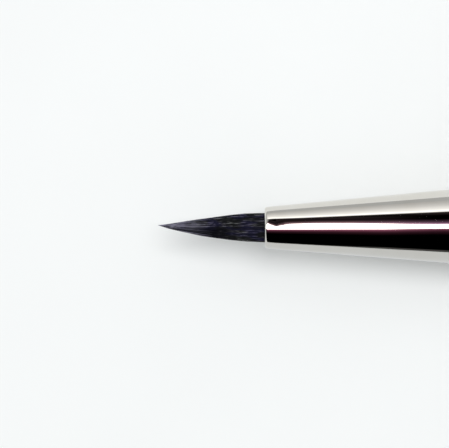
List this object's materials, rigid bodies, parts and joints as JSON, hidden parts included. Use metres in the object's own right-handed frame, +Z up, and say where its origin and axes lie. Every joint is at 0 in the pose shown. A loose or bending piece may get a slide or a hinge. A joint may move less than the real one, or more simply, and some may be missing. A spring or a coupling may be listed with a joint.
{
  "type": "fine detail brush",
  "caption": "Slim round brush with a finely pointed dark hair tuft in a tapered, ring-crimped nickel-plated ferrule on a turned, lacquered wooden handle.",
  "frame": {"origin": "on the brush's axis at the ferrule's shoulder, where its taper meets the cylindrical barrel", "axes": "+X along the brush's axis towards the handle's end, the tip at -X; +Z up, and the brush is round, so +Y is any side"},
  "size_m": [0.1809, 0.0072, 0.0072],
  "materials": {
    "nickel_plate": "polished",
    "hair": "satin",
    "thread": "matte",
    "resin": "gloss",
    "wood": "matte",
    "glue": "gloss",
    "lacquer": "gloss",
    "dip_lacquer": "gloss"
  },
  "bodies": {
    "brush": {"ferrule": "nickel_plate", "hair_root": "hair", "root_thread": "thread", "root_resin": "resin", "handle": "wood", "tenon_glue": "glue", "handle_lacquer": "lacquer", "end_dip": "dip_lacquer"},
    "tuft": {"hair_tuft": "hair"}
  },
  "joints": [
    {"name": "tuft_flex", "type": "hinge", "parent": "brush", "child": "tuft", "pos_m": [-0.018, 0, 0], "axis": [0, 0, 1], "range_deg": [-30, 30], "stiffness_Nm_per_rad": 0.0006}
  ]
}
